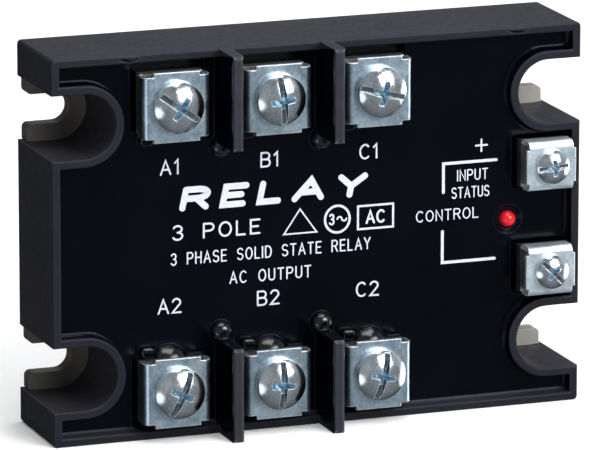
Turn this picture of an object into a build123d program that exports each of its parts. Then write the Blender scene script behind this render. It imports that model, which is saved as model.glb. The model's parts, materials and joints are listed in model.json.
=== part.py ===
from build123d import *
import os

os.makedirs("parts", exist_ok=True)

# The relay is drawn lying on its back and stood up on its long edge at the end.
# Lying down: x runs along the length, y up the height, z outward from the mounting face.

# Body
WIDTH = 104.1
HEIGHT = 73.0
BODY_DEPTH = 21.0
WALL = 1.6
FACE_RECESS = 2.6
FACE_THICKNESS = 3.4
HOUSING_SHY = 0.3
CORNER_RADIUS = 0.8
RIM_ROUND = 0.4

# Baseplate
PLATE_THICKNESS = 3.2
PLATE_GAP = 0.1
PLATE_EAR_INSET = 0.8
POTTING_GAP = 0.03

# Mounting pattern
MOUNT_PITCH_X = 91.4
MOUNT_PITCH_Y = 47.5
NOTCH_RADIUS = 6.05
NOTCH_WALL = 1.65
SLOT_RADIUS = 2.85
SLOT_MOUTH_RADIUS = 1.0

# Load terminals, three along each long edge
LOAD_PITCH = 19.8
LOAD_FIRST_X = -29.0
LOAD_EDGE = 9.5
LOAD_POCKET_HALF = 7.2
LOAD_POCKET_REACH = 5.6
POCKET_DEPTH = 2.2

# Input terminals, one above the other at the right end
INPUT_X = 45.0
INPUT_OFFSET_Y = 10.1
INPUT_POCKET_HALF = 5.2
INPUT_POCKET_LEFT = 5.8

# Barrier fins between the load terminals
FIN_THICKNESS = 2.2
FIN_LENGTH = 17.9
FIN_PROUD = 8.0
FIN_SHIFT_X = 0.4

# Clamps and bars
CLAMP_PROUD = 3.3
CLAMP_SHEET = 0.9
CLAMP_DEPTH = 3.4
CLAMP_BEND = 1.3
CLAMP_SAG = 0.1
BAR_THICKNESS = 1.2
SEAT_GAP = 0.05
LEG_THICKNESS = 1.0

# Levels outward from the mounting face
RIM_Z = BODY_DEPTH
FACE_Z = RIM_Z - FACE_RECESS
CEILING_Z = FACE_Z - FACE_THICKNESS
POCKET_Z = FACE_Z - POCKET_DEPTH
CLAMP_Z = RIM_Z + CLAMP_PROUD
BAR_TOP_Z = CLAMP_Z - CLAMP_DEPTH - SEAT_GAP
BAR_BACK_Z = BAR_TOP_Z - BAR_THICKNESS
CERAMIC_Z = PLATE_THICKNESS
PAD_Z = CERAMIC_Z + 0.7
DIE_Z = PAD_Z + 0.3
FOOT_Z = DIE_Z + 0.4
BOARD_Z = 6.4
BOARD_TOP_Z = BOARD_Z + 1.6

MID_Y = HEIGHT / 2

# Screw sizes: number 10-32 for the load, number 6-32 for the input
LOAD_SCREW = dict(head=4.8, height=3.0, side=1.3, shank=2.3, tip_z=13.8, slot=1.2, cross=1.1)
INPUT_SCREW = dict(head=3.25, height=2.2, side=0.9, shank=1.65, tip_z=14.5, slot=0.9, cross=0.9)
RUNNING_CLEARANCE = 0.05
LOAD_NUT = dict(half=4.0, thickness=3.0)
INPUT_NUT = dict(half=3.2, thickness=2.4)
WELL_CLEARANCE = 0.4


def block(x0, x1, y0, y1, z0, z1):
    """Box between two corners."""
    size = (abs(x1 - x0), abs(y1 - y0), abs(z1 - z0))
    centre = ((x0 + x1) / 2, (y0 + y1) / 2, (z0 + z1) / 2)
    return Pos(*centre) * Box(*size)


def post(x, y, radius, z0, z1):
    """Round post standing outward."""
    return Pos(x, y, (z0 + z1) / 2) * Cylinder(radius, abs(z1 - z0))


def edges_along(shape, axis):
    return shape.edges().filter_by(axis)


def stand_up(shape):
    """Turn the relay from lying on its back to standing on its long edge, centred, face toward -Y."""
    return Pos(0, (RIM_Z + FIN_PROUD) / 2, 0) * Rot(90, 0, 0) * shape


def save(name, shape):
    export_step(stand_up(shape), f"parts/{name}.step")


def mounting_points():
    for side in (-1, 1):
        for level in (-1, 1):
            yield side, side * MOUNT_PITCH_X / 2, MID_Y + level * MOUNT_PITCH_Y / 2


def open_slot(side, x, y, radius, z0, z1):
    """U-shaped prism whose round end is centred on x, y and which runs out past the short side."""
    run_out = side * (WIDTH / 2 + 3)
    return post(x, y, radius, z0, z1) + block(x, run_out, y - radius, y + radius, z0, z1)


# Load terminals: name -> x, y, direction toward the middle of the face, slot angle of the screw
LOAD = {}
for row, inward, angles in (("1", -1, (-35, 96, -15)), ("2", 1, (65, 88, 76))):
    edge_y = LOAD_EDGE if inward > 0 else HEIGHT - LOAD_EDGE
    for column, phase in enumerate("abc"):
        LOAD[phase + row] = (LOAD_FIRST_X + column * LOAD_PITCH, edge_y, inward, angles[column])

INPUT = {
    "pos": (INPUT_X, MID_Y + INPUT_OFFSET_Y, 5),
    "neg": (INPUT_X, MID_Y - INPUT_OFFSET_Y, -45),
}

FIN_XS = [LOAD_FIRST_X + (i + 0.5) * LOAD_PITCH + FIN_SHIFT_X for i in range(2)]
LED_X = 38.6
LED_Y = MID_Y - 0.8

# Half-round dips in the upper edge of the rim, for a clip-on cover
DIP_XS = (-37.1, 39.4)


# ---------------------------------------------------------------- housing
def notch_walls(z0, z1, grow=0.0):
    radius = NOTCH_RADIUS + NOTCH_WALL + grow
    walls = [open_slot(side, x, y, radius, z0, z1) for side, x, y in mounting_points()]
    return walls[0] + walls[1] + walls[2] + walls[3]


def face_recess():
    """The hollow inside the raised rim, filleted where it meets the face."""
    half = WIDTH / 2 - WALL
    hollow = block(-half, half, WALL, HEIGHT - WALL, FACE_Z, RIM_Z + 1) - notch_walls(FACE_Z - 1, RIM_Z + 2)
    floor_edges = hollow.edges().group_by(Axis.Z)[0]
    return fillet(floor_edges, 0.7)


def cavity():
    """The room behind the face and the seat of the baseplate."""
    half = WIDTH / 2 - WALL
    room = block(-half, half, WALL, HEIGHT - WALL, PLATE_THICKNESS, CEILING_Z)
    room -= notch_walls(0, CEILING_Z + 1)
    seat = block(-half, half, WALL, HEIGHT - WALL, -1, PLATE_THICKNESS)
    return room + seat


def load_pocket(x, y, inward):
    outer_y = HEIGHT - WALL if inward < 0 else WALL
    inner_y = y + inward * LOAD_POCKET_REACH
    pocket = block(x - LOAD_POCKET_HALF, x + LOAD_POCKET_HALF, outer_y, inner_y, POCKET_Z, FACE_Z + 0.5)
    return fillet(edges_along(pocket, Axis.Z), 0.9)


def load_pedestal(x, y, inward):
    """Block that carries the terminal bar, with a boss behind it for the screw tip."""
    near, far = y - inward * 6.0, y + inward * LOAD_POCKET_REACH
    seat = block(x - 6.4, x + 6.4, near, far, CEILING_Z, BAR_BACK_Z)
    return seat + post(x, y, 4.6, CEILING_Z - 2.8, CEILING_Z + 1)


def load_seat_cuts(x, y, inward):
    """Nut recess, screw well and the slit the bar's leg goes through."""
    half = LOAD_NUT["half"] + PLATE_GAP
    nut_z = BAR_BACK_Z - LOAD_NUT["thickness"] - PLATE_GAP
    cut = block(x - half, x + half, y - half, y + half, nut_z, BAR_BACK_Z)
    cut += post(x, y, LOAD_SCREW["shank"] + WELL_CLEARANCE, LOAD_SCREW["tip_z"] - 0.6, BAR_BACK_Z)
    slit_y = y + inward * 4.8
    return cut + block(x - 3.1, x + 3.1, slit_y - 0.6, slit_y + 0.6, CEILING_Z - 3, BAR_BACK_Z)


def wire_stop(x, y, inward):
    """Low domed stop and a small ear behind each load terminal."""
    radius, cap = 4.0, 2.4
    ball = (radius ** 2 + cap ** 2) / (2 * cap)
    top = RIM_Z + 0.8
    centre_y = y + inward * 3.9
    dome = post(x, centre_y, radius, top - cap - 0.1, top) & Pos(x, centre_y, top - ball) * Sphere(ball)
    dome += post(x, centre_y, radius, FACE_Z - 1, top - cap)
    stop = dome & block(x - 6, x + 6, y + inward * 5.7, y + inward * 12, FACE_Z - 1, RIM_Z + 2)
    ear = block(x - 5.9, x - 3.4, y + inward * 6.1, y + inward * 7.9, FACE_Z - 1, RIM_Z - 0.2)
    ear = fillet(edges_along(ear, Axis.Z), 0.7)
    return stop + fillet(ear.edges().group_by(Axis.Z)[-1], 0.35)


def barrier_fin(x, inward):
    """Fin from the long edge toward the middle, with a round boss at its inner end."""
    outer_y = HEIGHT if inward < 0 else 0
    inner_y = outer_y + inward * FIN_LENGTH
    half = FIN_THICKNESS / 2
    fin = block(x - half, x + half, outer_y, inner_y, FACE_Z - 1, RIM_Z + FIN_PROUD)
    fin = fillet(fin.edges().group_by(Axis.Z)[-1], 0.8)
    boss = post(x, inner_y + inward * 1.0, 2.2, FACE_Z - 1, FACE_Z + 2.2)
    return fin + fillet(boss.edges().group_by(Axis.Z)[-1], 1.9)


def input_pocket(y):
    right = WIDTH / 2 - WALL
    low, high = y - INPUT_POCKET_HALF, y + INPUT_POCKET_HALF
    pocket = block(INPUT_X - INPUT_POCKET_LEFT, right, low, high, POCKET_Z, FACE_Z + 0.5)
    return fillet(edges_along(pocket, Axis.Z), 0.9)


def input_pedestal(y):
    seat = block(INPUT_X - 5.0, INPUT_X + 5.0, y - 4.6, y + 4.6, CEILING_Z, BAR_BACK_Z)
    return seat + post(INPUT_X, y, 3.4, CEILING_Z - 2.0, CEILING_Z + 1)


def input_seat_cuts(y):
    half = INPUT_NUT["half"] + PLATE_GAP
    nut_z = BAR_BACK_Z - INPUT_NUT["thickness"] - PLATE_GAP
    cut = block(INPUT_X - half, INPUT_X + half, y - half, y + half, nut_z, BAR_BACK_Z)
    cut += post(INPUT_X, y, INPUT_SCREW["shank"] + WELL_CLEARANCE, INPUT_SCREW["tip_z"] - 0.6, BAR_BACK_Z)
    slit_x = INPUT_X - 4.3
    return cut + block(slit_x - 0.6, slit_x + 0.6, y - 2.6, y + 2.6, CEILING_Z - 3, BAR_BACK_Z)


def shell():
    """Outer box with the hollow of the face and the open notches, rounded all along the rim."""
    body = block(-WIDTH / 2, WIDTH / 2, 0, HEIGHT, HOUSING_SHY, RIM_Z)
    body = fillet(edges_along(body, Axis.Z), CORNER_RADIUS)
    body -= face_recess()
    for side, x, y in mounting_points():
        body -= open_slot(side, x, y, NOTCH_RADIUS, -1, RIM_Z + 1)
    return fillet(body.edges().group_by(Axis.Z)[-1], RIM_ROUND)


def housing():
    body = shell() - cavity()
    for x, y, inward, _ in LOAD.values():
        body -= load_pocket(x, y, inward)
        body += load_pedestal(x, y, inward)
        body -= load_seat_cuts(x, y, inward)
        body += wire_stop(x, y, inward)
    for x in FIN_XS:
        body += barrier_fin(x, -1) + barrier_fin(x, 1)
    for x, y, _ in INPUT.values():
        body -= input_pocket(y)
        body += input_pedestal(y)
        body -= input_seat_cuts(y)
    body -= post(LED_X, LED_Y, 1.6, CEILING_Z - 1, FACE_Z + 1)
    body -= Pos(LED_X, LED_Y, FACE_Z - 0.2) * Cone(2.1, 3.0, 0.6)
    for x in DIP_XS:
        dip = post(x, HEIGHT + 1.2, 2.6, RIM_Z - 0.6, RIM_Z + 1)
        body -= dip & block(x - 4, x + 4, HEIGHT - 3, HEIGHT - 0.5, RIM_Z - 1, RIM_Z + 2)
    return body


# ---------------------------------------------------------------- baseplate and power section
def baseplate():
    inset = WALL + PLATE_GAP
    half = WIDTH / 2 - inset
    plate = block(-half, half, inset, HEIGHT - inset, 0, PLATE_THICKNESS)
    reach = WIDTH / 2 - PLATE_EAR_INSET
    for side, x, y in mounting_points():
        ear_half = NOTCH_RADIUS - PLATE_GAP
        plate += block(side * (half - 1), side * reach, y - ear_half, y + ear_half, 0, PLATE_THICKNESS)
        plate -= open_slot(side, x, y, SLOT_RADIUS, -1, PLATE_THICKNESS + 1)
    mouths = [e for e in edges_along(plate, Axis.Z)
              if abs(abs(e.center().X) - reach) < 0.01
              and any(abs(abs(e.center().Y - y) - SLOT_RADIUS) < 0.01 for _, _, y in mounting_points())]
    return fillet(mouths, SLOT_MOUTH_RADIUS)


def ceramic(x):
    return block(x - 8.5, x + 8.5, 15.5, HEIGHT - 15.5, CERAMIC_Z, PAD_Z)


def copper_pad(x):
    return block(x - 7.8, x + 7.8, 16.2, HEIGHT - 16.2, PAD_Z, DIE_Z)


def die_centre(y, inward):
    return y + inward * 9.9


def thyristor(x, y, inward):
    centre = die_centre(y, inward)
    return block(x - 3.2, x + 3.2, centre - 3.2, centre + 3.2, DIE_Z, FOOT_Z)


def load_bar(x, y, inward):
    """Terminal bar: top plate under the clamp, a leg through the face, a foot on the die."""
    top = block(x - 6.4, x + 6.4, y - inward * 5.8, y + inward * 5.3, BAR_BACK_Z, BAR_TOP_Z)
    top = fillet(edges_along(top, Axis.Z), 0.6)
    leg_near, leg_far = y + inward * 4.3, y + inward * 5.3
    leg = block(x - 3.0, x + 3.0, leg_near, leg_far, FOOT_Z, BAR_BACK_Z)
    foot = block(x - 3.0, x + 3.0, leg_near, die_centre(y, inward) + inward * 2.4, FOOT_Z, FOOT_Z + 0.8)
    hole = post(x, y, LOAD_SCREW["shank"] + RUNNING_CLEARANCE, BAR_BACK_Z - 1, BAR_TOP_Z + 1)
    return top + leg + foot - hole


def input_bar(y):
    left = INPUT_X - 4.8
    top = block(left, INPUT_X + 4.9, y - 4.5, y + 4.5, BAR_BACK_Z, BAR_TOP_Z)
    top = fillet(edges_along(top, Axis.Z), 0.5)
    leg = block(left, left + LEG_THICKNESS, y - 2.5, y + 2.5, BOARD_TOP_Z, BAR_BACK_Z)
    hole = post(INPUT_X, y, INPUT_SCREW["shank"] + RUNNING_CLEARANCE, BAR_BACK_Z - 1, BAR_TOP_Z + 1)
    return top + leg - hole


def square_nut(x, y, nut, screw):
    half = nut["half"]
    body = block(x - half, x + half, y - half, y + half, BAR_BACK_Z - nut["thickness"], BAR_BACK_Z)
    return body - post(x, y, screw["shank"] + RUNNING_CLEARANCE, 0, BAR_TOP_Z)


def potting():
    inset = WALL + POTTING_GAP
    half = WIDTH / 2 - inset
    fill = block(-half, half, inset, HEIGHT - inset, PLATE_THICKNESS, FOOT_Z + 0.6)
    fill -= notch_walls(0, BODY_DEPTH, grow=POTTING_GAP)
    for x, y, inward, _ in LOAD.values():
        fill -= block(x - 8.6, x + 8.6, 15.4, HEIGHT - 15.4, 0, BODY_DEPTH)
        leg_from, leg_to = y + inward * 4.2, y + inward * 12
        fill -= block(x - 3.1, x + 3.1, leg_from, leg_to, FOOT_Z - 0.1, BODY_DEPTH)
    return fill


# ---------------------------------------------------------------- control section
def circuit_board():
    return block(-38, 43, 21, HEIGHT - 21, BOARD_Z, BOARD_TOP_Z)


def optocoupler(x):
    body = block(x - 4.4, x + 4.4, MID_Y - 3.2, MID_Y + 3.2, BOARD_TOP_Z, BOARD_TOP_Z + 3.4)
    return chamfer(body.edges().group_by(Axis.Z)[-1], 0.4)


def snubber(x):
    body = block(x - 5.0, x + 5.0, MID_Y + 8, MID_Y + 13, BOARD_TOP_Z, BOARD_TOP_Z + 5.0)
    return fillet(body.edges().group_by(Axis.Z)[-1], 0.5)


def gate_resistor(x):
    return Pos(x, MID_Y - 9, BOARD_TOP_Z + 1.2) * Rot(0, 90, 0) * Cylinder(1.2, 6.5)


def input_regulator():
    body = post(26, MID_Y - 6, 2.4, BOARD_TOP_Z, BOARD_TOP_Z + 4.6)
    return body - block(20, 32, MID_Y - 10, MID_Y - 7.3, BOARD_TOP_Z - 1, BOARD_TOP_Z + 6)


def input_diode():
    return Pos(28, MID_Y + 8, BOARD_TOP_Z + 1.0) * Rot(0, 90, 0) * Cylinder(1.0, 4.2)


def led_lens():
    collar_z = CEILING_Z - 0.9
    lens = post(LED_X, LED_Y, 1.9, collar_z, CEILING_Z - 0.1)
    lens += post(LED_X, LED_Y, 1.5, collar_z, FACE_Z - 0.2)
    return lens + Pos(LED_X, LED_Y, FACE_Z - 0.2) * Sphere(1.5)


def led_leads():
    leads = [block(LED_X + dx - 0.25, LED_X + dx + 0.25, LED_Y - 0.25, LED_Y + 0.25,
                   BOARD_TOP_Z, CEILING_Z - 0.9) for dx in (-0.95, 0.95)]
    return Compound(leads)


# ---------------------------------------------------------------- clamps and screws
def clamp(half_across, half_along, half_tongue, tongue_width, hole_radius):
    """Saddle plate with a flange bent back on each side and a wider tongue in the middle."""
    back = CLAMP_Z - CLAMP_DEPTH
    web_back = CLAMP_Z - CLAMP_SHEET
    outer = block(-half_across, half_across, -half_along, half_along, back, CLAMP_Z)
    outer = fillet(outer.edges().filter_by(Axis.Y).group_by(Axis.Z)[-1], CLAMP_BEND)
    inner_half = half_across - CLAMP_SHEET
    inner = block(-inner_half, inner_half, -half_along - 1, half_along + 1, back - 1, web_back)
    inner = fillet(inner.edges().filter_by(Axis.Y).group_by(Axis.Z)[-1], CLAMP_BEND - CLAMP_SHEET)
    tongue = block(-tongue_width / 2, tongue_width / 2, -half_tongue, half_tongue, web_back, CLAMP_Z)
    return outer - inner + tongue - post(0, 0, hole_radius, back - 1, CLAMP_Z + 1)


def load_clamp(x, y):
    plate = clamp(6.5, 5.8, 6.55, 8.8, LOAD_SCREW["shank"] + 0.4)
    return Pos(x, y - CLAMP_SAG, 0) * plate


def input_clamp(x, y):
    plate = clamp(4.75, 4.4, 4.9, 6.4, INPUT_SCREW["shank"] + 0.45)
    return Pos(x, y, 0) * Rot(0, 0, 90) * plate


def screw(x, y, sizes, angle):
    """Domed head with a slot right across and a shorter cross arm, on a plain shank."""
    rise = sizes["height"] - sizes["side"]
    dome_radius = (sizes["head"] ** 2 + rise ** 2) / (2 * rise)
    head = post(0, 0, sizes["head"], CLAMP_Z, CLAMP_Z + sizes["height"])
    head &= Pos(0, 0, CLAMP_Z + sizes["height"] - dome_radius) * Sphere(dome_radius)
    top = CLAMP_Z + sizes["height"] + 1
    slot_floor = CLAMP_Z + sizes["height"] * 0.5
    half_slot = sizes["slot"] / 2
    slot = block(-sizes["head"] - 1, sizes["head"] + 1, -half_slot, half_slot, slot_floor, top)
    arm = sizes["head"] * 0.56
    half_cross = sizes["cross"] / 2
    cross = block(-half_cross, half_cross, -arm, arm, slot_floor - 0.2, top)
    shank = post(0, 0, sizes["shank"], sizes["tip_z"], CLAMP_Z + 0.2)
    shank = chamfer(shank.edges().group_by(Axis.Z)[0], 0.4)
    return Pos(x, y, 0) * Rot(0, 0, angle) * (head - slot - cross + shank)


# ---------------------------------------------------------------- write every piece
save("housing", housing())
save("baseplate", baseplate())
save("potting", potting())
save("circuit_board", circuit_board())

for column, phase in enumerate("abc"):
    phase_x = LOAD_FIRST_X + column * LOAD_PITCH
    save(f"ceramic_{phase}", ceramic(phase_x))
    save(f"copper_pad_{phase}", copper_pad(phase_x))
    save(f"optocoupler_{phase}", optocoupler(phase_x))
    save(f"snubber_{phase}", snubber(phase_x))
    save(f"gate_resistor_{phase}", gate_resistor(phase_x))

for name, (x, y, inward, angle) in LOAD.items():
    save(f"thyristor_{name}", thyristor(x, y, inward))
    save(f"load_bar_{name}", load_bar(x, y, inward))
    save(f"load_clamp_{name}", load_clamp(x, y))
    save(f"load_screw_{name}", screw(x, y, LOAD_SCREW, angle))

for name, (x, y, angle) in INPUT.items():
    save(f"input_bar_{name}", input_bar(y))
    save(f"input_clamp_{name}", input_clamp(x, y))
    save(f"input_screw_{name}", screw(x, y, INPUT_SCREW, angle))

save("load_nuts", Compound([square_nut(x, y, LOAD_NUT, LOAD_SCREW) for x, y, _, _ in LOAD.values()]))
save("input_nuts", Compound([square_nut(x, y, INPUT_NUT, INPUT_SCREW) for x, y, _ in INPUT.values()]))
save("input_regulator", input_regulator())
save("input_diode", input_diode())
save("led_lens", led_lens())
save("led_leads", led_leads())
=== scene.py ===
import json
import math

import bmesh
import bpy
from mathutils import Matrix, Vector

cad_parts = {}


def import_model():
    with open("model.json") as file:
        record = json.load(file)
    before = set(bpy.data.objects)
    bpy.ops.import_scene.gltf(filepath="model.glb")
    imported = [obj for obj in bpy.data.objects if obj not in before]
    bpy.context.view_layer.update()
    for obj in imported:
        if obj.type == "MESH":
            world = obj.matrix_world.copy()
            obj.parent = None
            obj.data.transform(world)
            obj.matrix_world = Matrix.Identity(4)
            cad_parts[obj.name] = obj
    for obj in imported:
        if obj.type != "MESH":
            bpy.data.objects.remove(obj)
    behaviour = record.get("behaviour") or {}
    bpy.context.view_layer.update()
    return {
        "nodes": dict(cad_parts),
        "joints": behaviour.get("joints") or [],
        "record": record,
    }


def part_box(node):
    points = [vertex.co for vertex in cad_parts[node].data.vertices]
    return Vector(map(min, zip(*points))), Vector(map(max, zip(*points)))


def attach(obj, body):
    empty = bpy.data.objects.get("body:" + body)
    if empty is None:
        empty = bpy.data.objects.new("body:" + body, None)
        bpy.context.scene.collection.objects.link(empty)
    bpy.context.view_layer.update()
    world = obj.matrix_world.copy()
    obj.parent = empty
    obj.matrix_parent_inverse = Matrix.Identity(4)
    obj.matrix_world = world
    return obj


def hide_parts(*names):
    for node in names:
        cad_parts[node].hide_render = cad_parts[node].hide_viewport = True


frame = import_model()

MM = 0.001
NODES = frame["nodes"]
RECORD = frame["record"]
JOINTS = {j["name"]: j for j in frame["joints"]}
MOUNTS = {m["name"]: m for m in RECORD["mounts"]}


def widest_front_level(mesh):
    """Y of the level with the most area facing the front."""
    areas = {}
    for polygon in mesh.polygons:
        if polygon.normal.y < -0.99:
            level = round(polygon.center.y, 5)
            areas[level] = areas.get(level, 0) + polygon.area
    return max(areas, key=areas.get)


# Levels and ends of the housing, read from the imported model
housing_low, housing_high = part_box("housing")
RIM_HEIGHT = 2.6 * MM
FACE_Y = widest_front_level(NODES["housing"].data)
RIM_Y = FACE_Y - RIM_HEIGHT
FIN_FRONT_Y = housing_low.y
HALF_X = housing_high.x
TOP_Z = housing_high.z
MIDDLE = (0, 0, (housing_low.z + housing_high.z) / 2)


# ---------------------------------------------------------------- node helpers
class Shader:
    """A node material with a Principled BSDF and short ways to add and link nodes."""

    def __init__(self, name):
        self.material = bpy.data.materials.new(name)
        self.material.use_nodes = True
        self.tree = self.material.node_tree
        self.bsdf = self.tree.nodes["Principled BSDF"]
        self.coords = self.add("ShaderNodeTexCoord").outputs["Object"]

    def add(self, kind, **settings):
        node = self.tree.nodes.new(kind)
        for key, value in settings.items():
            setattr(node, key, value)
        return node

    def link(self, source, target):
        self.tree.links.new(source, target)

    def scaled(self, scale):
        """Object coordinates stretched by a factor along each axis."""
        node = self.add("ShaderNodeMapping")
        node.inputs["Scale"].default_value = scale
        self.link(self.coords, node.inputs["Vector"])
        return node.outputs["Vector"]

    def noise(self, scale, detail=4.0, roughness=0.55, vector=None):
        """Noise whose features are about 1/scale metres, or follow an already scaled vector."""
        node = self.add("ShaderNodeTexNoise")
        node.inputs["Scale"].default_value = scale
        node.inputs["Detail"].default_value = detail
        node.inputs["Roughness"].default_value = roughness
        self.link(vector or self.coords, node.inputs["Vector"])
        return node.outputs["Fac"]

    def remap(self, value, low, high, to_low, to_high):
        node = self.add("ShaderNodeMapRange")
        for key, number in zip(("From Min", "From Max", "To Min", "To Max"), (low, high, to_low, to_high)):
            node.inputs[key].default_value = number
        self.link(value, node.inputs["Value"])
        return node.outputs["Result"]

    def math(self, operation, a, b):
        node = self.add("ShaderNodeMath", operation=operation)
        for socket, value in zip(node.inputs, (a, b)):
            if isinstance(value, (int, float)):
                socket.default_value = value
            else:
                self.link(value, socket)
        return node.outputs[0]

    def mix(self, factor, a, b):
        node = self.add("ShaderNodeMix", data_type="RGBA")
        self.link(factor, node.inputs["Factor"])
        for socket, value in ((node.inputs["A"], a), (node.inputs["B"], b)):
            if isinstance(value, (tuple, list)):
                socket.default_value = (*value, 1.0)
            else:
                self.link(value, socket)
        return node.outputs["Result"]

    def weighted(self, a, weight_a, b, weight_b):
        return self.math("ADD", self.math("MULTIPLY", a, weight_a), self.math("MULTIPLY", b, weight_b))

    def mottled(self, noise, one, other, low=0.3, high=0.7):
        """A colour that drifts from one to the other as the noise runs from low to high."""
        return self.mix(self.remap(noise, low, high, 0.0, 1.0), one, other)

    def blended(self, body, blend_mask, amount, overlay):
        """Body colour that gives way to another where the mask rises: worn edges on the housing and plate, a
        painted highlight on the zinc and the fins' front edges, painted shade on the plate's left end.
        """
        return self.mix(self.math("MULTIPLY", blend_mask, amount), body, overlay)

    def split(self, vector):
        node = self.add("ShaderNodeSeparateXYZ")
        self.link(vector, node.inputs[0])
        return node.outputs

    def colour(self, source):
        self.link(source, self.bsdf.inputs["Base Color"])

    def set(self, **values):
        """Constants on the shader's own sockets."""
        for key, value in values.items():
            self.bsdf.inputs[key.replace("_", " ")].default_value = value

    def rough(self, source, low, high):
        """Roughness that follows a noise."""
        self.link(self.remap(source, 0.3, 0.7, low, high), self.bsdf.inputs["Roughness"])

    def bump(self, height, distance, strength=1.0, after=None):
        node = self.add("ShaderNodeBump")
        node.inputs["Distance"].default_value = distance
        node.inputs["Strength"].default_value = strength
        self.link(height, node.inputs["Height"])
        if after is not None:
            self.link(after, node.inputs["Normal"])
        self.link(node.outputs["Normal"], self.bsdf.inputs["Normal"])
        return node.outputs["Normal"]

    def rounded(self, radius):
        """The surface normal, turned smoothly over edges within the given radius."""
        bevel = self.add("ShaderNodeBevel", samples=4)
        bevel.inputs["Radius"].default_value = radius
        return bevel.outputs["Normal"]

    def edge_mask(self, radius):
        """0 on flats, rising to 1 where an edge turns within the given radius."""
        normal = self.add("ShaderNodeNewGeometry").outputs["Normal"]
        dot = self.add("ShaderNodeVectorMath", operation="DOT_PRODUCT")
        self.link(self.rounded(radius), dot.inputs[0])
        self.link(normal, dot.inputs[1])
        return self.remap(dot.outputs["Value"], 1.0, 0.82, 0.0, 1.0)


def moulded_matte(name, dark, light, worn_or_highlight_edge):
    """Textured skin of the housing: fine spark texture, faint flow streaks, paler edges that are wear on the
    body and rim and a painted highlight on the fins' front edges.
    """
    s = Shader(name)
    streaks = s.noise(1.0, 5.0, 0.6, s.scaled((30, 500, 900)))
    patches = s.noise(45.0, 3.0)
    body = s.mottled(s.weighted(streaks, 0.6, patches, 0.4), dark, light, 0.35, 0.65)
    s.colour(s.blended(body, s.edge_mask(0.45 * MM), 0.5, worn_or_highlight_edge))
    s.rough(s.noise(900.0, 2.0), 0.48, 0.62)
    s.set(Specular_IOR_Level=0.22)
    s.bump(s.noise(5200.0, 3.0, 0.6), 0.02 * MM, 0.35)
    return s.material


def moulded_gloss(name, specular):
    """Polished skin inside the rim: near black with a blue cast and a faint orange peel."""
    s = Shader(name)
    body = s.mottled(s.noise(60.0, 3.0), (0.0004, 0.0007, 0.0019), (0.0009, 0.0015, 0.0037))
    s.colour(s.blended(body, s.edge_mask(0.3 * MM), 0.5, (0.045, 0.052, 0.070)))
    s.rough(s.noise(140.0, 4.0), 0.14, 0.22)
    s.set(Specular_IOR_Level=specular)
    peel = s.bump(s.noise(260.0, 2.0), 0.03 * MM, 0.25, after=s.rounded(0.32 * MM))
    s.bump(s.noise(3500.0, 2.0), 0.004 * MM, 0.2, after=peel)
    return s.material


def plate_metal():
    """Rolled aluminium plate: long brushed grain, dull patches, brighter rubbed edges.

    Its front is painted darker toward the left end, as painted shade. The back, which faces +Y, is not.
    """
    s = Shader("plate_rolled")
    grain = s.noise(1.0, 6.0, 0.65, s.scaled((60, 60, 4200)))
    patches = s.noise(70.0, 4.0)
    body = s.mottled(patches, (0.34, 0.31, 0.27), (0.50, 0.47, 0.43))
    body = s.blended(body, s.edge_mask(0.3 * MM), 0.8, (0.80, 0.78, 0.74))
    # Painted shade: the front darkens toward the left end.
    painted_shade_left = s.remap(s.split(s.coords)["X"], -44 * MM, -30 * MM, 0.92, 0.0)
    normal = s.add("ShaderNodeNewGeometry").outputs["Normal"]
    not_back = s.remap(s.split(normal)["Y"], 0.4, 0.8, 1.0, 0.0)
    s.colour(s.blended(body, painted_shade_left, not_back, (0.070, 0.060, 0.050)))
    s.set(Metallic=0.55)
    s.rough(s.weighted(grain, 0.5, patches, 0.5), 0.34, 0.52)
    s.bump(grain, 0.01 * MM, 0.4)
    return s.material


def zinc(name, light, dark, rough_low, rough_high, edge=0.16, metallic=1.0):
    """Bright zinc with a blue passivation: soft mottling, fine grain, edges rounded over edge mm in the
    shading, and a painted highlight: near white painted along every edge, where the metal also turns less
    metallic.
    """
    s = Shader(name)
    specks = s.noise(1900.0, 3.0)
    tone = s.weighted(s.noise(320.0, 5.0, 0.6), 0.6, specks, 0.4)
    blend_mask = s.edge_mask(edge * MM)
    # Painted highlight: a near white colour along the edges.
    s.colour(s.blended(s.mottled(tone, dark, light, 0.38, 0.62), blend_mask, 0.8, (0.92, 0.95, 0.97)))
    s.link(s.remap(blend_mask, 0.0, 1.0, metallic, 0.45), s.bsdf.inputs["Metallic"])
    s.rough(tone, rough_low, rough_high)
    s.bump(specks, 0.006 * MM, 0.35, after=s.rounded(edge * MM))
    return s.material


def lamp_epoxy():
    """Tinted clear resin: glossy red with a little light inside it."""
    s = Shader("lamp_epoxy")
    s.colour(s.mottled(s.noise(700.0, 3.0), (0.42, 0.006, 0.012), (0.62, 0.014, 0.026)))
    s.set(Roughness=0.10, Specular_IOR_Level=0.6)
    s.set(Subsurface_Weight=0.25, Subsurface_Scale=2 * MM, Subsurface_Radius=(1.0, 0.2, 0.15))
    s.bump(s.noise(900.0, 2.0), 0.01 * MM, 0.15)
    return s.material


def ink():
    """Pad-printed white ink: slightly uneven and matte."""
    s = Shader("ink_white")
    s.colour(s.mottled(s.noise(1500.0, 3.0), (0.44, 0.46, 0.54), (0.56, 0.58, 0.66)))
    s.set(Specular_IOR_Level=0.3)
    s.rough(s.noise(900.0, 3.0), 0.5, 0.7)
    s.bump(s.noise(2600.0, 3.0), 0.004 * MM, 0.4)
    return s.material


def filled(name, dark, light, scale, rough, metallic=0.0, bump=0.02, grain=None):
    """A mottled solid colour for the pieces inside, with a grain along one axis where given."""
    s = Shader(name)
    clouds = s.noise(1.0, 4.0, 0.6, s.scaled(grain)) if grain else s.noise(scale, 4.0, 0.6)
    s.colour(s.mottled(clouds, dark, light))
    s.set(Metallic=metallic)
    s.rough(clouds, rough * 0.8, rough * 1.2)
    s.bump(s.noise(scale * 6, 3.0), bump * MM, 0.4)
    return s.material


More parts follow.
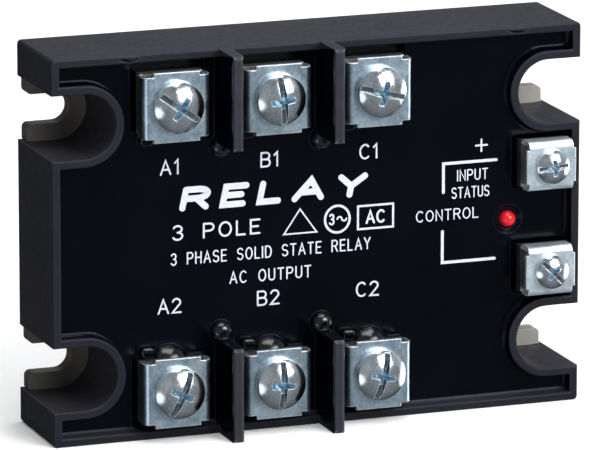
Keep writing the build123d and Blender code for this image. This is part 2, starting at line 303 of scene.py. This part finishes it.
def banded_resistor():
    """Fired tan coat with four coloured rings across its length."""
    s = Shader("resistor_coat")
    coat = (0.45, 0.33, 0.17, 1)
    bands = ((0.22, 0.30, (0.25, 0.08, 0.03, 1)), (0.42, 0.50, (0.01, 0.01, 0.01, 1)),
             (0.60, 0.68, (0.55, 0.05, 0.03, 1)), (0.80, 0.88, (0.55, 0.38, 0.08, 1)))
    ramp = s.add("ShaderNodeValToRGB")
    ramp.color_ramp.interpolation = "CONSTANT"
    for start, end, colour in bands:
        ramp.color_ramp.elements.new(start).color = colour
        ramp.color_ramp.elements.new(end).color = coat
    ramp.color_ramp.elements[0].color = coat
    generated = s.add("ShaderNodeTexCoord").outputs["Generated"]
    s.link(s.split(generated)["X"], ramp.inputs[0])
    s.colour(ramp.outputs["Color"])
    s.rough(s.noise(900.0), 0.35, 0.5)
    s.bump(s.noise(1400.0), 0.02 * MM, 0.4)
    return s.material


MATTE = moulded_matte("housing_matte",
                      (0.0120, 0.0120, 0.0160), (0.0200, 0.0200, 0.0260), (0.085, 0.092, 0.118))
RIM = moulded_matte("housing_rim",
                    (0.0052, 0.0060, 0.0100), (0.0085, 0.0096, 0.0155), (0.066, 0.073, 0.100))
# The fins' front faces: the pale edge colour here is a painted highlight.
FIN_EDGE = moulded_matte("housing_fin_edge",
                         (0.0120, 0.0125, 0.0170), (0.0200, 0.0205, 0.0280), (0.40, 0.41, 0.48))
GLOSS = moulded_gloss("housing_gloss", 0.11)
SHINE = moulded_gloss("housing_gloss_curved", 0.75)
PLATE = plate_metal()
CLAMP_ZINC = zinc("clamp_zinc", (0.72, 0.87, 0.97), (0.40, 0.53, 0.64), 0.26, 0.40, edge=0.30)
SMALL_ZINC = zinc("small_clamp_zinc", (0.80, 0.90, 0.96), (0.52, 0.62, 0.70), 0.26, 0.40,
                  edge=0.28, metallic=0.8)
SCREW_ZINC = zinc("screw_zinc", (0.86, 0.90, 0.92), (0.56, 0.63, 0.68), 0.12, 0.24, edge=0.24)
# Painted shade: darker zinc for the slots' floors and walls.
SLOT_SHADE_ZINC = zinc("screw_slot_zinc", (0.36, 0.43, 0.48), (0.15, 0.19, 0.23), 0.22, 0.34, edge=0.24)
# Painted shade: darker zinc with a blue cast for the cross recess.
DRIVE_SHADE_ZINC = zinc("screw_drive_zinc", (0.60, 0.82, 0.95), (0.18, 0.38, 0.54), 0.18, 0.34,
                  edge=0.24, metallic=0.8)
NUT_ZINC = zinc("nut_zinc", (0.66, 0.70, 0.72), (0.50, 0.55, 0.58), 0.26, 0.40)
BAR_TIN = filled("tinned_bar", (0.50, 0.46, 0.40), (0.72, 0.69, 0.64), 240.0, 0.34,
                 metallic=1.0, bump=0.01)
LEAD_TIN = filled("lead_tin", (0.60, 0.59, 0.56), (0.78, 0.77, 0.74), 500.0, 0.3,
                  metallic=1.0, bump=0.01)
LAMP = lamp_epoxy()
INK = ink()
INNER = {
    "potting": filled("potting_silicone", (0.012, 0.012, 0.014), (0.028, 0.028, 0.032), 90.0, 0.55,
                      bump=0.1),
    "circuit_board": filled("solder_mask", (0.006, 0.05, 0.016), (0.012, 0.11, 0.035), 400.0, 0.35,
                            grain=(900, 120, 300)),
    "ceramic": filled("alumina", (0.70, 0.69, 0.66), (0.84, 0.83, 0.80), 500.0, 0.6),
    "copper_pad": filled("bonded_copper", (0.55, 0.22, 0.11), (0.78, 0.38, 0.22), 300.0, 0.3,
                         metallic=1.0),
    "thyristor": filled("die_metallised", (0.30, 0.31, 0.34), (0.46, 0.47, 0.52), 900.0, 0.2,
                        metallic=0.8),
    "optocoupler": filled("moulded_epoxy", (0.006, 0.006, 0.007), (0.016, 0.016, 0.018), 1500.0, 0.5),
    "input_regulator": filled("regulator_epoxy", (0.008, 0.008, 0.009), (0.018, 0.018, 0.02),
                              1500.0, 0.45),
    "input_diode": filled("diode_epoxy", (0.01, 0.01, 0.012), (0.03, 0.03, 0.034), 1200.0, 0.4),
    "snubber": filled("capacitor_dip", (0.34, 0.11, 0.01), (0.50, 0.18, 0.02), 350.0, 0.3, bump=0.05),
    "gate_resistor": banded_resistor(),
}


# ---------------------------------------------------------------- CAD nodes keep their shape and get finishes
BOUNDARY_ANGLE = math.radians(35)


def modifier(obj, kind, **settings):
    made = obj.modifiers.new(kind.lower(), kind)
    for key, value in settings.items():
        setattr(made, key, value)
    return made


def soften_edges(obj, width):
    """Joins the coplanar facets and rounds what is left of the sharp edges."""
    modifier(obj, "DECIMATE", decimate_type="DISSOLVE", angle_limit=math.radians(0.5))
    modifier(obj, "BEVEL", width=width, segments=2, limit_method="ANGLE", angle_limit=BOUNDARY_ANGLE,
             use_clamp_overlap=True, harden_normals=True)


def smooth(mesh, angle):
    """Smooth shading that stays sharp where facets meet at more than the angle."""
    mesh.shade_smooth()
    mesh.set_sharp_from_angle(angle=angle)


def paint(obj, *materials):
    obj.data.materials.clear()
    for material in materials:
        obj.data.materials.append(material)


for name, node in NODES.items():
    smooth(node.data, BOUNDARY_ANGLE)
    family = name.rsplit("_", 1)[0]
    if name.startswith(("load_clamp", "input_clamp")):
        paint(node, CLAMP_ZINC if name.startswith("load") else SMALL_ZINC)
        soften_edges(node, 0.10 * MM)
    elif name.startswith(("load_bar", "input_bar")):
        paint(node, BAR_TIN)
    elif name.endswith("nuts"):
        paint(node, NUT_ZINC)
    elif name == "led_leads":
        paint(node, LEAD_TIN)
    elif name == "led_lens":
        paint(node, LAMP)
    elif name == "baseplate":
        paint(node, PLATE)
        soften_edges(node, 0.25 * MM)
    elif name in INNER:
        paint(node, INNER[name])
    elif family in INNER:
        paint(node, INNER[family])

# The housing is textured outside and polished inside the rim
SLOTS = [mount["pos_m"] for name, mount in MOUNTS.items() if name.startswith("mount_slot")]
NOTCH_SKIN = 6.9 * MM  # from a slot's axis to the outside of the wall around its notch
RIM_WALL = 0.9 * MM
LEDGE_DEPTH = 3.2 * MM  # of the ledge inside the long edges
NOTCH_REACH = 14 * MM  # how far the notches come in from each end


def polished(polygon):
    """True for the face, the fins and all else inside the raised rim, away from the notches, except the
    bottom ledge's upward facets, which take the paler matte skin as a painted highlight.
    """
    point, normal = polygon.center, polygon.normal
    if abs(point.x) > HALF_X - RIM_WALL or not RIM_WALL < point.z < TOP_Z - RIM_WALL:
        return False
    # Painted highlight: the bottom ledge's upward facets take the paler matte skin, a bright band along the
    # fillet.
    if normal.z > 0.3 and point.z < LEDGE_DEPTH:
        return False
    for x, _, z in SLOTS:
        beyond = point.x * math.copysign(1, x) > abs(x)
        reach = abs(point.z - z) if beyond else math.hypot(point.x - x, point.z - z)
        if reach < NOTCH_SKIN:
            return False
    return True


def skin(polygon):
    """Which finish a facet of the housing takes."""
    point, normal = polygon.center, polygon.normal
    if normal.y < -0.3:
        if point.y < FIN_FRONT_Y + 0.3 * MM:
            # The fins' front faces take the finish with a painted highlight along their edges.
            return FIN_EDGE
        well_inside = abs(point.x) < HALF_X - NOTCH_REACH and LEDGE_DEPTH < point.z < TOP_Z - LEDGE_DEPTH
        if abs(point.y - RIM_Y) < 0.45 * MM and not well_inside:
            return RIM
    if not polished(polygon):
        return MATTE
    curved = max(abs(c) for c in normal) < 0.99
    raised = point.y < FACE_Y - 0.3 * MM
    return SHINE if curved and raised else GLOSS


housing = NODES["housing"]
HOUSING_SKINS = [MATTE, GLOSS, RIM, FIN_EDGE, SHINE]
paint(housing, *HOUSING_SKINS)
for polygon in housing.data.polygons:
    polygon.material_index = HOUSING_SKINS.index(skin(polygon))


# ---------------------------------------------------------------- mesh helpers
def new_object(name, data):
    obj = bpy.data.objects.new(name, data)
    bpy.context.scene.collection.objects.link(obj)
    return obj


def lathe(bm, profile, segments):
    """Surface of revolution about Z from (radius, height) pairs. It closes where an end lies on the axis."""
    rings = []
    for radius, height in profile:
        if radius == 0:
            rings.append([bm.verts.new((0, 0, height))])
        else:
            rings.append([bm.verts.new((radius * math.cos(a), radius * math.sin(a), height))
                          for a in (2 * math.pi * i / segments for i in range(segments))])
    for low, high in zip(rings, rings[1:]):
        for i in range(segments):
            j = (i + 1) % segments
            corners = [low[i % len(low)], low[j % len(low)], high[j % len(high)], high[i % len(high)]]
            bm.faces.new(list(dict.fromkeys(corners)))  # without the repeated corner on the axis
    bmesh.ops.recalc_face_normals(bm, faces=bm.faces)


def mesh_from(bm, name, *materials):
    mesh = bpy.data.meshes.new(name)
    bm.to_mesh(mesh)
    bm.free()
    for material in materials:
        mesh.materials.append(material)
    return mesh


def frustum(bm, length_top, length_low, width_top, width_low, top, low, angle):
    """Tapered bar crossing the axis: one arm pair of a cross recess."""
    turn = Matrix.Rotation(angle, 4, "Z")
    corners = []
    for length, width, height in ((length_low, width_low, low), (length_top, width_top, top)):
        corners += [bm.verts.new(turn @ Vector((sx * length / 2, sy * width / 2, height)))
                    for sx, sy in ((-1, -1), (1, -1), (1, 1), (-1, 1))]
    bm.faces.new(corners[3::-1])
    bm.faces.new(corners[4:])
    for i in range(4):
        j = (i + 1) % 4
        bm.faces.new((corners[i], corners[j], corners[4 + j], corners[4 + i]))


def cut(target, cutters):
    """Target mesh less each cutter mesh. The cut faces take the cutter's material."""
    base = new_object("cut_base", target)
    tools = [new_object("cut_tool", mesh) for mesh in cutters]
    for tool in tools:
        modifier(base, "BOOLEAN", operation="DIFFERENCE", object=tool, solver="EXACT",
                 material_mode="TRANSFER")
    bpy.context.view_layer.update()
    graph = bpy.context.evaluated_depsgraph_get()
    result = bpy.data.meshes.new_from_object(base.evaluated_get(graph))
    for obj in [base, *tools]:
        bpy.data.objects.remove(obj)
    return result


# ---------------------------------------------------------------- screws
THREAD_PITCH = 0.79375 * MM  # 32 threads per inch
THREAD_DEPTH = 0.30 * MM
TIP_CHAMFER = 0.4 * MM


def head_profile(head, side, height):
    """Domed head: flat seat, small lower chamfer, short side, rounded shoulder, dome."""
    rise = height - side
    ball = (head ** 2 + rise ** 2) / (2 * rise)
    start = math.asin((head - 0.12 * MM) / ball)
    steps = 18
    dome = []
    for i in range(steps):
        angle = start * (1 - i / steps)
        dome.append((ball * math.sin(angle), height - ball + ball * math.cos(angle)))
    shoulder = dome[0][1]
    return [(0, 0), (head - 0.25 * MM, 0), (head - 0.05 * MM, 0.1 * MM), (head, 0.25 * MM),
            (head, shoulder - 0.22 * MM), (head - 0.02 * MM, shoulder - 0.09 * MM), *dome, (0, height)]


def threaded_shank(bm, radius, length):
    """Right-hand thread on a shank that hangs below the seat, with a chamfered tip."""
    around = 40
    rows_per_pitch = 10
    rows = int(length / THREAD_PITCH * rows_per_pitch)
    grid = []
    for row in range(rows + 1):
        height = -length + length * row / rows
        limit = radius - max(0.0, TIP_CHAMFER - (height + length))
        run_out = min(1.0, max(0.0, -height / THREAD_PITCH))  # the groove fades in below the head
        ring = []
        for i in range(around):
            angle = 2 * math.pi * i / around
            phase = (height / THREAD_PITCH - i / around) % 1.0
            crest = min(1.0, max(0.0, 1.35 - abs(phase - 0.5) * 3.4))
            here = min(limit, radius - THREAD_DEPTH * (1 - crest) * run_out)
            ring.append(bm.verts.new((here * math.cos(angle), here * math.sin(angle), height)))
        grid.append(ring)
    for low, high in zip(grid, grid[1:]):
        for i in range(around):
            j = (i + 1) % around
            bm.faces.new((low[i], low[j], high[j], high[i]))
    bm.faces.new(grid[0][::-1])
    bm.faces.new(grid[-1])


def screw_mesh(name, head, side, height, slot, shank, length):
    """Combination slot and cross head, cut from a turned blank, on a threaded shank."""
    bm = bmesh.new()
    lathe(bm, head_profile(head, side, height), 96)
    blank = mesh_from(bm, name + "_blank", SCREW_ZINC)
    above = height + 0.5 * MM
    bm = bmesh.new()
    frustum(bm, 2.4 * head, 2.4 * head, slot * 1.10, slot * 0.90, above, height * 0.52, 0)
    cutters = [mesh_from(bm, name + "_slot", SLOT_SHADE_ZINC)]
    for angle in (0, math.pi / 2):
        bm = bmesh.new()
        frustum(bm, head * 1.22, head * 0.40, slot * 0.98, slot * 0.60, above, height * 0.20, angle)
        cutters.append(mesh_from(bm, name + "_recess", DRIVE_SHADE_ZINC))
    made = cut(blank, cutters)
    bm = bmesh.new()
    bm.from_mesh(made)
    bmesh.ops.remove_doubles(bm, verts=bm.verts, dist=1e-6)
    threaded_shank(bm, shank, length)
    screw = mesh_from(bm, name, *made.materials)
    smooth(screw, math.radians(32))
    return screw


def place_screws(kind, angles, **sizes):
    """One mesh for all screws of a kind, stood at each one's seat and turned to its angle in degrees."""
    seats = {key: Vector(JOINTS[f"{kind}_screw_{key}_turn"]["pos_m"]) for key in angles}
    first = next(iter(angles))
    _, packed_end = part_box(f"{kind}_screw_{first}")
    mesh = screw_mesh(f"{kind}_screw_mesh", length=packed_end.y - seats[first].y, **sizes)
    face_front = Matrix.Rotation(math.radians(90), 4, "X")
    for key, angle in angles.items():
        node = f"{kind}_screw_{key}"
        obj = new_object(f"{kind}_screw_head_{key}", mesh)
        turned = Matrix.Rotation(math.radians(angle), 4, "Z")
        obj.matrix_world = Matrix.Translation(seats[key]) @ face_front @ turned
        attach(obj, node)
        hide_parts(node)
        modifier(obj, "BEVEL", width=0.10 * MM, segments=2, limit_method="ANGLE",
                 angle_limit=math.radians(34))


place_screws("load", {"a1": -35, "b1": 96, "c1": -15, "a2": 65, "b2": 88, "c2": 76},
             head=4.8 * MM, side=1.3 * MM, height=3.0 * MM, slot=1.2 * MM, shank=2.3 * MM)
place_screws("input", {"pos": 5, "neg": -45},
             head=3.25 * MM, side=0.9 * MM, height=2.2 * MM, slot=0.9 * MM, shank=1.65 * MM)


# ---------------------------------------------------------------- printed lettering: single strokes, in mm
INK_FRONT = FACE_Y - 0.030 * MM
INK_BACK = FACE_Y + 0.01 * MM
LAYER_STEP = 0.004 * MM
SAME_POINT = 1e-4
SHARPEST_MITRE = 0.45


def arc(cx, cy, rx, ry, start, end, steps=14):
    """Points on an ellipse between two angles in degrees."""
    angles = [math.radians(start + (end - start) * i / steps) for i in range(steps + 1)]
    return [(cx + rx * math.cos(a), cy + ry * math.sin(a)) for a in angles]


# Each glyph is a width and its strokes, on a line one unit high
GLYPHS = {
    " ": (0.55, []),
    "A": (0.66, [[(0, 0), (0.33, 1), (0.66, 0)], [(0.12, 0.34), (0.54, 0.34)]]),
    "B": (0.60, [[(0, 0), (0, 1)],
                 [(0, 1), (0.34, 1)] + arc(0.34, 0.76, 0.22, 0.24, 90, -90) + [(0, 0.52)],
                 [(0.34, 0.52)] + arc(0.34, 0.26, 0.26, 0.26, 90, -90) + [(0, 0)]]),
    "C": (0.64, [arc(0.34, 0.5, 0.34, 0.5, 48, 312, 22)]),
    "D": (0.60, [[(0, 0), (0, 1), (0.24, 1)] + arc(0.24, 0.5, 0.36, 0.5, 90, -90, 18) + [(0, 0)]]),
    "E": (0.50, [[(0.50, 1), (0, 1), (0, 0), (0.50, 0)], [(0, 0.52), (0.42, 0.52)]]),
    "H": (0.56, [[(0, 0), (0, 1)], [(0.56, 0), (0.56, 1)], [(0, 0.52), (0.56, 0.52)]]),
    "I": (0.0, [[(0, 0), (0, 1)]]),
    "L": (0.46, [[(0, 1), (0, 0), (0.46, 0)]]),
    "N": (0.56, [[(0, 0), (0, 1), (0.56, 0), (0.56, 1)]]),
    "O": (0.66, [arc(0.33, 0.5, 0.33, 0.5, 90, 450, 28)]),
    "P": (0.56, [[(0, 0), (0, 1)],
                 [(0, 1), (0.32, 1)] + arc(0.32, 0.74, 0.24, 0.26, 90, -90) + [(0, 0.48)]]),
    "R": (0.58, [[(0, 0), (0, 1)],
                 [(0, 1), (0.32, 1)] + arc(0.32, 0.75, 0.24, 0.25, 90, -90) + [(0, 0.5)],
                 [(0.30, 0.5), (0.58, 0)]]),
    "S": (0.56, [arc(0.28, 0.755, 0.27, 0.245, 30, 270, 16)
                 + arc(0.28, 0.255, 0.28, 0.255, 90, -155, 16)]),
    "T": (0.56, [[(0, 1), (0.56, 1)], [(0.28, 1), (0.28, 0)]]),
    "U": (0.56, [[(0, 1), (0, 0.28)] + arc(0.28, 0.28, 0.28, 0.28, 180, 360) + [(0.56, 1)]]),
    "Y": (0.60, [[(0, 1), (0.30, 0.48), (0.60, 1)], [(0.30, 0.48), (0.30, 0)]]),
    "1": (0.24, [[(0, 0.78), (0.20, 1), (0.20, 0)]]),
    "2": (0.54, [arc(0.27, 0.73, 0.26, 0.27, 165, -25, 14) + [(0, 0), (0.56, 0)]]),
    "3": (0.52, [arc(0.25, 0.76, 0.24, 0.24, 155, -90, 14),
                 arc(0.25, 0.26, 0.27, 0.26, 90, -155, 16)]),
    "+": (0.62, [[(0, 0.5), (0.62, 0.5)], [(0.31, 0.19), (0.31, 0.81)]]),
}


def stroke_sides(points, half, closed):
    """Left and right edge points of a stroke, mitred where it turns."""
    count = len(points)
    sides = []
    for i, (x, z) in enumerate(points):
        legs = []
        for j in (i - 1, i):
            if closed or 0 <= j < count - 1:
                (x0, z0), (x1, z1) = points[j % count], points[(j + 1) % count]
                length = math.hypot(x1 - x0, z1 - z0)
                legs.append((-(z1 - z0) / length, (x1 - x0) / length))
        dx, dz = sum(n[0] for n in legs), sum(n[1] for n in legs)
        size = math.hypot(dx, dz)
        dx, dz = dx / size, dz / size
        reach = half / max(SHARPEST_MITRE, dx * legs[0][0] + dz * legs[0][1])
        sides.append(((x + dx * reach, z + dz * reach), (x - dx * reach, z - dz * reach)))
    return sides


def ribbon(bm, stroke, width, layer=0):
    """Raised printed stroke with round ends. Each layer stands a little prouder, so none coincide."""
    points = [p for i, p in enumerate(stroke) if i == 0 or math.dist(p, stroke[i - 1]) > SAME_POINT]
    closed = math.dist(points[0], points[-1]) < SAME_POINT
    if closed:
        points.pop()
    half = width / 2
    front = INK_FRONT - layer * LAYER_STEP

    def corner(x, z):
        """Front and back vertex at a point of the outline."""
        return bm.verts.new((x * MM, front, z * MM)), bm.verts.new((x * MM, INK_BACK, z * MM))

    def prism(corners):
        bm.faces.new([c[0] for c in corners])
        bm.faces.new([c[1] for c in reversed(corners)])

    def wall(a, b):
        bm.faces.new((a[0], a[1], b[1], b[0]))

    loops = [[corner(x, z) for x, z in pair] for pair in stroke_sides(points, half, closed)]
    pairs = list(zip(loops, loops[1:])) + ([(loops[-1], loops[0])] if closed else [])
    for (left, right), (next_left, next_right) in pairs:
        prism([right, next_right, next_left, left])
        wall(right, next_right)
        wall(next_left, left)
    if closed:
        return
    for end, beyond in ((0, 1), (-1, -2)):
        x, z = points[end]
        away = math.atan2(z - points[beyond][1], x - points[beyond][0])
        first, last = (loops[0][0], loops[0][1]) if end == 0 else (loops[-1][1], loops[-1][0])
        cap = [first]
        for i in range(1, 8):
            angle = away - math.pi / 2 + math.pi * i / 8
            cap.append(corner(x + half * math.cos(angle), z + half * math.sin(angle)))
        cap.append(last)
        prism(cap)
        for a, b in zip(cap, cap[1:]):
            wall(a, b)


def lettering(bm, text, x, z, height, weight, width=1.0, gap=0.30, slant=0.0):
    """Text in single strokes from a lower left corner."""
    for letter in text:
        advance, strokes = GLYPHS[letter]
        for layer, stroke in enumerate(strokes):
            placed = [(x + (px * width + pz * slant) * height, z + pz * height) for px, pz in stroke]
            ribbon(bm, placed, weight, layer)
        x += (advance + gap) * height * width


def text_width(text, height, width=1.0, gap=0.30):
    return sum((GLYPHS[c][0] + gap) * height * width for c in text) - gap * height * width


def centred(bm, text, x, z, height, weight, width=1.0):
    """Text about its middle."""
    lettering(bm, text, x - text_width(text, height, width) / 2, z - height / 2, height, weight, width)


def filling(bm, text, left, right, z, height, weight, gap=0.30, slant=0.0):
    """Text stretched to run from left to right, measured between the centres of its end strokes."""
    width = (right - left - slant * height) / text_width(text, height, 1.0, gap)
    lettering(bm, text, left, z - height / 2, height, weight, width, gap, slant)


def terminal_labels(bm):
    """Each load terminal's label, set off a little from the terminal's axis."""
    for letter, upper_offset, lower_offset in (("A", 0.45, 0.3), ("B", 0.2, -0.1), ("C", 0.0, -0.2)):
        x = JOINTS[f"load_screw_{letter.lower()}1_turn"]["pos_m"][0] / MM
        centred(bm, letter + "1", x + upper_offset, 50.85, 2.6, 0.35, 1.1)
        centred(bm, letter + "2", x + lower_offset, 24.5, 2.6, 0.35, 1.1)


def descriptions(bm):
    filling(bm, "3 PHASE SOLID STATE RELAY", -28.3, 10.9, 33.3, 2.1, 0.27, 0.34)
    filling(bm, "3 POLE", -27.9, -11.0, 38.3, 2.6, 0.37, 0.34)
    filling(bm, "AC OUTPUT", -16.8, -0.9, 28.9, 2.1, 0.28, 0.34)


def symbols(bm):
    """Plain shapes in a row: a triangle, three phases in a ring, a box."""
    triangle = [(-6.2, 36.3), (0.3, 36.3), (-3.0, 40.9), (-6.2, 36.3)]
    ring = arc(4.4, 38.4, 2.45, 2.55, 90, 450, 40)
    box = [(8.5, 36.1), (15.5, 36.1), (15.5, 40.5), (8.5, 40.5), (8.5, 36.1)]
    for outline, weight in ((triangle, 0.28), (ring, 0.45), (box, 0.40)):
        ribbon(bm, outline, weight)
    centred(bm, "3", 3.3, 38.4, 1.9, 0.34, 0.8)
    ribbon(bm, arc(4.85, 38.4, 0.45, 0.40, 180, 0, 8) + arc(5.75, 38.4, 0.45, 0.40, 180, 360, 8), 0.32)
    centred(bm, "AC", 12.0, 38.3, 2.2, 0.42)


def large_word(bm):
    filling(bm, "RELAY", -26.1, 9.9, 44.6, 3.4, 1.20, 0.42, 0.22)


def input_marks(bm):
    """Plus sign, the brackets that lead to the two input terminals, and the words between them."""
    centred(bm, "+", 33.15, 50.3, 3.6, 0.36)
    for left, right, corner_z, end_z in ((25.55, 36.2, 47.3, 41.8), (25.4, 35.9, 28.3, 34.3)):
        ribbon(bm, [(right, corner_z), (left, corner_z), (left, end_z)], 0.56)
    filling(bm, "INPUT", 28.4, 34.4, 44.8, 1.95, 0.24)
    filling(bm, "STATUS", 27.3, 34.7, 41.5, 1.95, 0.24)
    filling(bm, "CONTROL", 20.2, 32.5, 37.5, 1.95, 0.24)


for name, draw in (("print_terminals", terminal_labels), ("print_description", descriptions),
                   ("print_heading", large_word), ("print_symbols", symbols), ("print_input", input_marks)):
    bm = bmesh.new()
    draw(bm)
    obj = new_object(name, mesh_from(bm, name, INK))
    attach(obj, "relay")


# ---------------------------------------------------------------- stage, lights and camera
FLAT_RADIUS = 1.9
SWEEP_RADIUS = 0.4
AIR = 0.055  # world strength away from every card
CARDS = (  # direction, angles in degrees where the card starts to fade and ends, strength
    ((0.33, -0.90, -0.25), 10, 85, 0.24),  # broad, low in front: the face and the clamps' plates
    ((-0.74, -0.58, -0.34), 10, 18, 1.6),  # small, low on the left: the clamps' left bends
    ((-0.70, -0.50, 0.45), 15, 50, 0.22),  # high on the left: the left of the screws' domes
    ((0.97, 0.06, -0.23), 12, 22, 4.5),  # small, low on the right: right bends and edges
    ((0.50, 0.84, 0.20), 12, 34, 0.35),  # behind: the top
    ((0.90, 0.30, 0.30), 20, 50, 0.45),  # high on the right: the right of the screws' domes
)


def stage_material():
    """Pale floor whose far rim glows a little, as a lit studio sweep does."""
    s = Shader("studio_floor")
    s.colour(s.mottled(s.noise(6.0, 3.0), (0.90, 0.90, 0.90), (0.93, 0.93, 0.93)))
    s.set(Roughness=0.9, Specular_IOR_Level=0.1, Emission_Color=(1, 1, 1, 1))
    reach = s.add("ShaderNodeVectorMath", operation="LENGTH")
    s.link(s.coords, reach.inputs[0])
    s.link(s.remap(reach.outputs["Value"], 0.7, 1.8, 0.0, 0.5), s.bsdf.inputs["Emission Strength"])
    return s.material


def floor():
    """Round floor that sweeps up into a low wall. Reflections see the world's cards in its place."""
    wall = []
    for angle in range(10, 91, 10):
        turn = math.radians(angle)
        wall.append((FLAT_RADIUS + SWEEP_RADIUS * math.sin(turn), SWEEP_RADIUS * (1 - math.cos(turn))))
    bm = bmesh.new()
    lathe(bm, [(0.0, 0.0), (0.8, 0.0), (FLAT_RADIUS, 0.0), *wall], 96)
    obj = new_object("studio_floor", mesh_from(bm, "studio_floor", stage_material()))
    obj.data.shade_smooth()
    obj.visible_glossy = False


def aimed(obj, location, target):
    """Stands a light or camera at a place, looking at a target."""
    obj.location = location
    obj.rotation_euler = (Vector(target) - Vector(location)).to_track_quat("-Z", "Y").to_euler()
    return obj


def softbox(name, location, target, size, power):
    data = bpy.data.lights.new(name, "AREA")
    data.shape = "RECTANGLE"
    data.size, data.size_y = size
    data.energy = power
    return aimed(new_object(name, data), location, target)


def card(tree, direction, inner, outer):
    """1 toward a direction and 0 away from it, with a soft edge between two angles in degrees."""
    coords = tree.nodes.new("ShaderNodeTexCoord")
    dot = tree.nodes.new("ShaderNodeVectorMath")
    dot.operation = "DOT_PRODUCT"
    dot.inputs[1].default_value = Vector(direction).normalized()
    tree.links.new(coords.outputs["Generated"], dot.inputs[0])
    edge = tree.nodes.new("ShaderNodeMapRange")
    edge.interpolation_type = "SMOOTHSTEP"
    edge.inputs["From Min"].default_value = math.cos(math.radians(outer))
    edge.inputs["From Max"].default_value = math.cos(math.radians(inner))
    tree.links.new(dot.outputs["Value"], edge.inputs["Value"])
    return edge.outputs["Result"]


def world():
    """Dim studio air with reflector cards that the gloss and the zinc pick up."""
    made = bpy.data.worlds.new("studio_air")
    made.use_nodes = True
    tree = made.node_tree
    level = None
    for direction, inner, outer, amount in CARDS:
        added = tree.nodes.new("ShaderNodeMath")
        added.operation = "MULTIPLY_ADD"
        tree.links.new(card(tree, direction, inner, outer), added.inputs[0])
        added.inputs[1].default_value = amount
        added.inputs[2].default_value = AIR
        if level is not None:
            tree.links.new(level, added.inputs[2])
        level = added.outputs[0]
    background = tree.nodes["Background"]
    background.inputs["Color"].default_value = (0.88, 0.94, 1.0, 1.0)
    tree.links.new(level, background.inputs["Strength"])
    bpy.context.scene.world = made


floor()
world()
softbox("key_right", (0.44, -0.80, 0.52), MIDDLE, (0.62, 0.50), 8.0)
softbox("top", (0.10, -0.05, 1.15), MIDDLE, (1.2, 0.9), 13.6)
front_wash = softbox("front_wash", (0.10, -0.36, 0.40), (0.03, -0.06, 0), (0.7, 0.25), 1.6)
front_wash.visible_glossy = False
softbox("back_wash", (0.0, 0.5, 1.1), (0, 1.7, 0.5), (1.6, 0.6), 8)

# The photograph's view: a long lens, from the left of the face and a little above
AZIMUTH, ELEVATION = math.radians(19.96), math.radians(13.34)
DISTANCE = 1.215946
AIM = Vector((-3.935 * MM, RIM_Y, 38.516 * MM))
toward_camera = Vector((-math.sin(AZIMUTH) * math.cos(ELEVATION),
                        -math.cos(AZIMUTH) * math.cos(ELEVATION), math.sin(ELEVATION)))
camera_data = bpy.data.cameras.new("camera")
camera_data.sensor_width = 36.0
camera_data.lens = 393.38
camera_data.clip_start, camera_data.clip_end = 0.05, 20
camera = aimed(new_object("camera", camera_data), AIM + toward_camera * DISTANCE, AIM)
bpy.context.scene.camera = camera
bpy.context.scene.view_settings.view_transform = "Standard"
